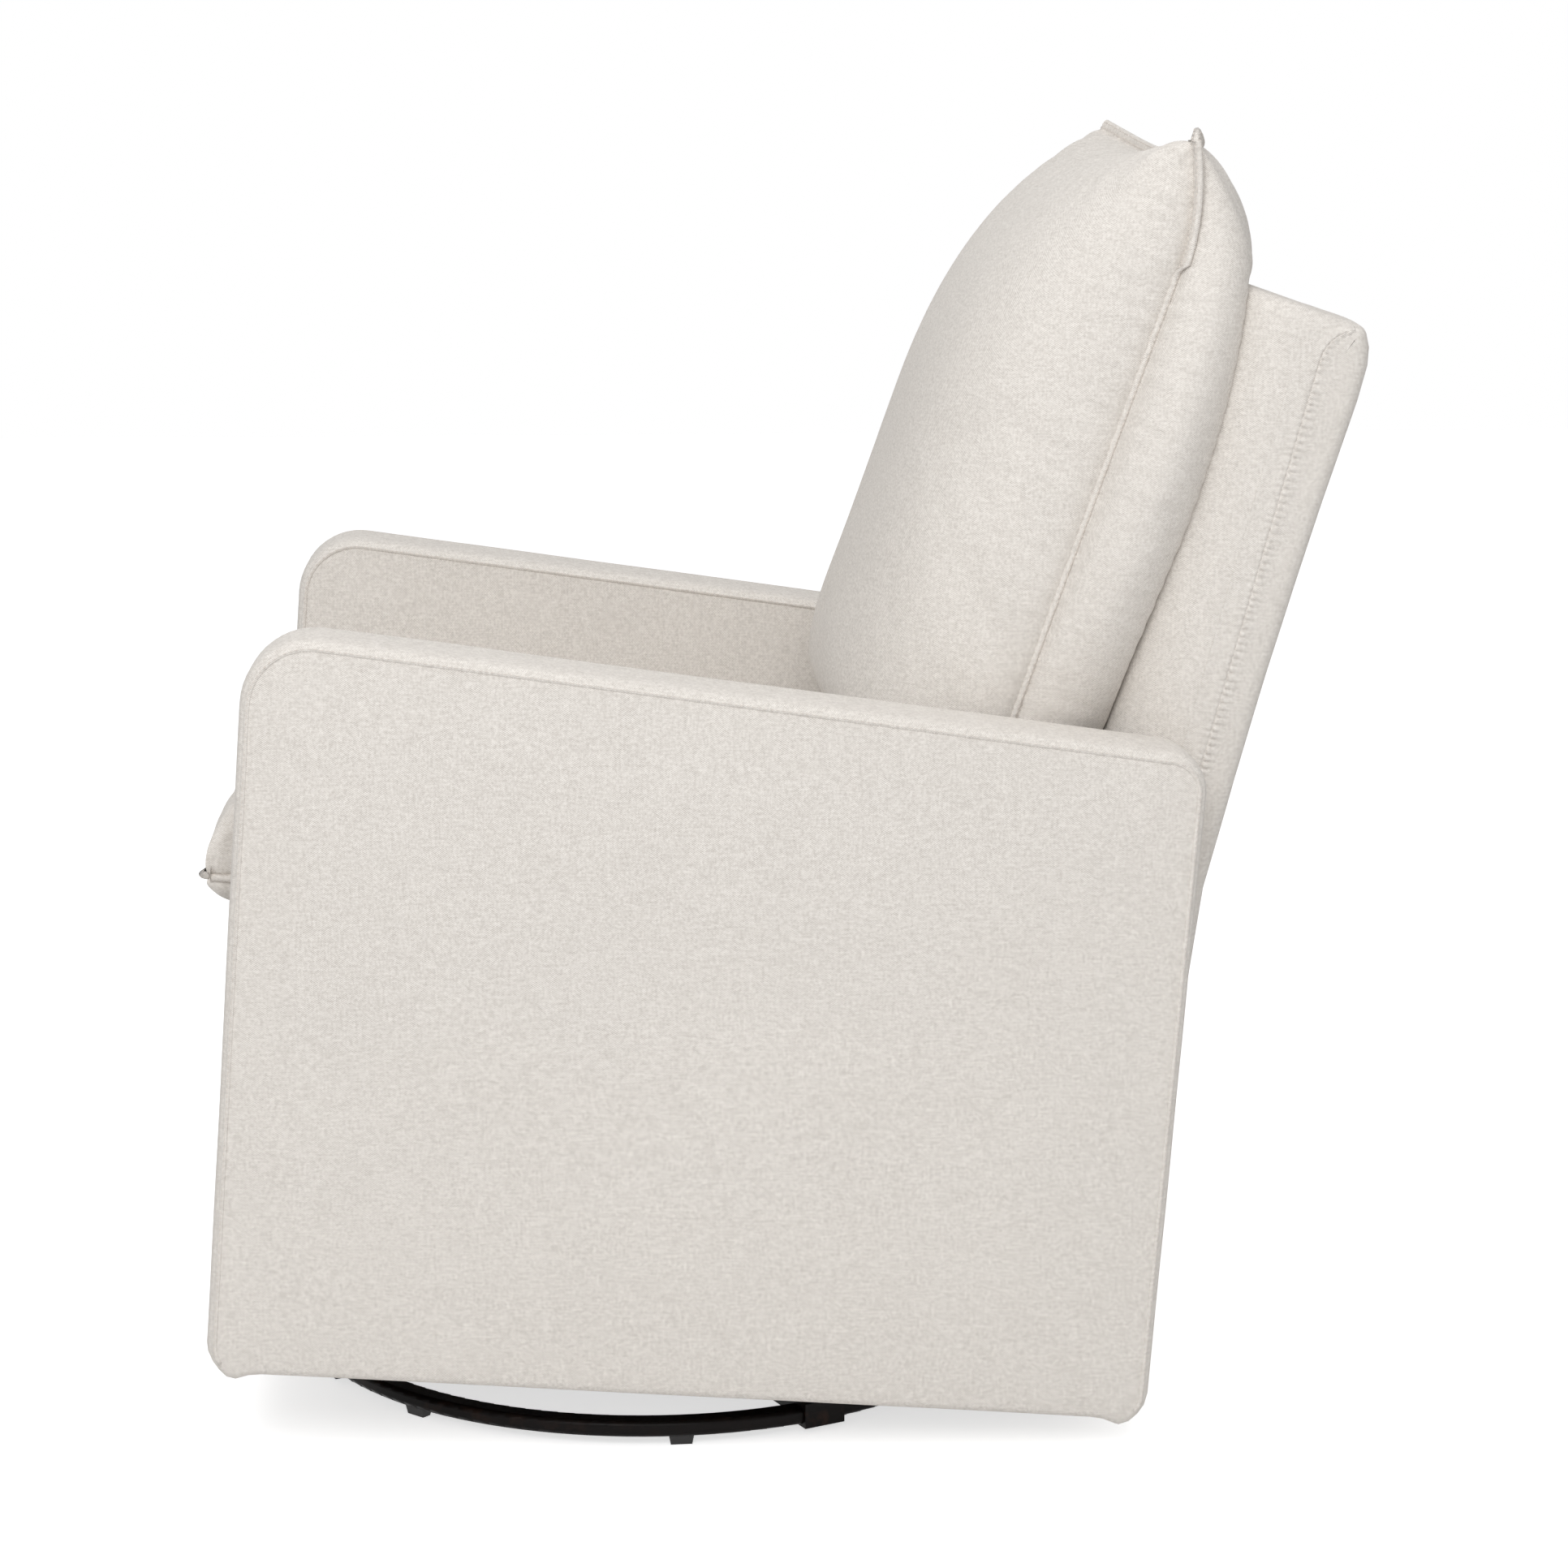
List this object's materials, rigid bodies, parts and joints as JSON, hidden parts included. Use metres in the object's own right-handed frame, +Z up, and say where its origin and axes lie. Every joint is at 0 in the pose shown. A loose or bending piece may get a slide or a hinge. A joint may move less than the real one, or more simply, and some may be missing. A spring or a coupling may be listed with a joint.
{
  "type": "glider chair",
  "caption": "Upholstered swivel glider armchair with slim track arms, a loose seat cushion and a stuffed back pillow, on a dark steel floor ring; it turns and glides to rock a baby.",
  "frame": {"origin": "middle of the chair's footprint, on the floor; the swivel axis stands 95.6 mm in front of it", "axes": "+Z up, -Y the way the sitter faces, +X to the sitter's left"},
  "size_m": [0.685, 0.903, 1.0273],
  "materials": {
    "ring_paint": "satin dark bronze paint",
    "foot_plastic": "moulded black plastic",
    "mechanism_paint": "black powder coat",
    "zinc_steel": "zinc plated",
    "bumper_rubber": "moulded rubber",
    "spring_wire": "oiled wire",
    "timber": "planed hardwood and plywood",
    "oatmeal_cloth": "warm off-white woven upholstery",
    "deck_cloth": "plain lining cloth",
    "black_cloth": "black underside cloth",
    "strap_cloth": "elastic webbing",
    "filling": "foam and fibre"
  },
  "bodies": {
    "base": {"base_ring": "ring_paint", "ring_saddles": "ring_paint", "base_cross": "ring_paint", "base_feet": "foot_plastic", "swivel_post": "zinc_steel", "lower_race": "zinc_steel", "swivel_balls": "zinc_steel", "swivel_washer": "zinc_steel", "swivel_nut": "zinc_steel"},
    "carriage": {"upper_race": "zinc_steel", "carriage_plate": "mechanism_paint", "race_bolts": "zinc_steel", "hanger_left": "mechanism_paint", "hanger_right": "mechanism_paint", "upper_pivot_pins": "zinc_steel", "upper_pivot_nuts": "zinc_steel", "glide_bumpers": "bumper_rubber"},
    "front_links": {"link_front_left": "mechanism_paint", "link_front_right": "mechanism_paint", "front_link_bearings": "zinc_steel"},
    "rear_links": {"link_rear_left": "mechanism_paint", "link_rear_right": "mechanism_paint", "rear_link_bearings": "zinc_steel"},
    "seat": {"seat_rail_left": "mechanism_paint", "seat_rail_right": "mechanism_paint", "lower_pivot_pins": "zinc_steel", "lower_pivot_nuts": "zinc_steel", "pivot_spacers": "zinc_steel", "rail_bolts": "zinc_steel", "arm_bolts": "zinc_steel", "back_bolts": "zinc_steel", "spring_clips": "zinc_steel", "seat_springs": "spring_wire", "side_rail_left": "timber", "side_rail_right": "timber", "front_rail": "timber", "rear_rail": "timber", "corner_blocks": "timber", "arm_board_left": "timber", "arm_board_right": "timber", "back_post_left": "timber", "back_post_right": "timber", "back_top_rail": "timber", "back_low_rail": "timber", "arm_cover_left": "oatmeal_cloth", "arm_cover_right": "oatmeal_cloth", "back_cover": "oatmeal_cloth", "outside_back": "oatmeal_cloth", "front_border": "oatmeal_cloth", "seat_cushion": "oatmeal_cloth", "back_pillow": "oatmeal_cloth", "seat_deck": "deck_cloth", "dust_cover": "black_cloth", "back_webbing": "strap_cloth", "seat_foam": "filling", "pillow_fill": "filling"}
  },
  "joints": [
    {"name": "swivel", "type": "hinge", "parent": "base", "child": "carriage", "pos_m": [0, -0.09556, 0.0355], "axis": [0, 0, 1], "continuous": true},
    {"name": "glide", "type": "hinge", "parent": "carriage", "child": "front_links", "pos_m": [0, -0.20556, 0.198], "axis": [1, 0, 0], "range_deg": [-22, 22]},
    {"name": "rear_swing", "type": "hinge", "parent": "carriage", "child": "rear_links", "pos_m": [0, 0.01444, 0.198], "axis": [1, 0, 0], "range_deg": [-22, 22]},
    {"name": "seat_level", "type": "hinge", "parent": "front_links", "child": "seat", "pos_m": [0, -0.20556, 0.078], "axis": [1, 0, 0], "range_deg": [-22, 22]}
  ],
  "couplings": [
    {"joint": "rear_swing", "follows": "glide", "ratio": 1},
    {"joint": "seat_level", "follows": "glide", "ratio": -1}
  ]
}
